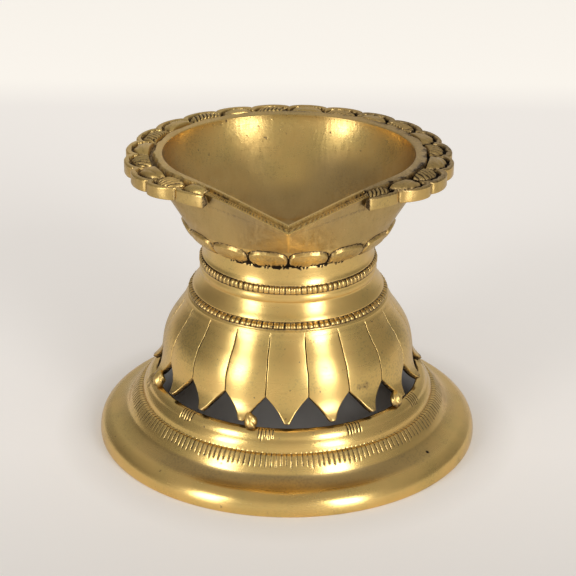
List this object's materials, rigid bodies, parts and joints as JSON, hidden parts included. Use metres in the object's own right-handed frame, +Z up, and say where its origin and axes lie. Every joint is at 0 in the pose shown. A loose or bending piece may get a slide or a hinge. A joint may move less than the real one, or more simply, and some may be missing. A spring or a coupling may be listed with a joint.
{
  "type": "oil lamp",
  "caption": "Brass oil lamp: a spouted bowl with a scalloped rim that lifts off a hollow lotus-petal stand, brazed at its petal tips to a turned and moulded foot ring.",
  "frame": {"origin": "on the stand's axis, at the surface that the foot ring rests on", "axes": "+Z up the stand's axis, -Y towards the spout, +X to the right when the spout faces the viewer"},
  "size_m": [0.12, 0.12, 0.0925],
  "materials": {
    "ring_brass": "turned and polished, fine circular marks",
    "stand_brass": "polished with dark patina in the seams",
    "bowl_brass": "satin, blackened in the rim's grooves",
    "stud_brass": "turned, dull",
    "braze": "rough as melted"
  },
  "bodies": {
    "stand": {"base_ring": "ring_brass", "lotus_dome": "stand_brass", "braze_tack_1": "braze", "braze_tack_2": "braze", "braze_tack_3": "braze", "braze_tack_4": "braze", "braze_tack_5": "braze"},
    "bowl": {"bowl": "bowl_brass", "bowl_stud": "stud_brass"}
  },
  "joints": [
    {"name": "bowl_lift", "type": "slide", "parent": "stand", "child": "bowl", "axis": [0, 0, 1], "range_m": [0, 0.03]}
  ]
}
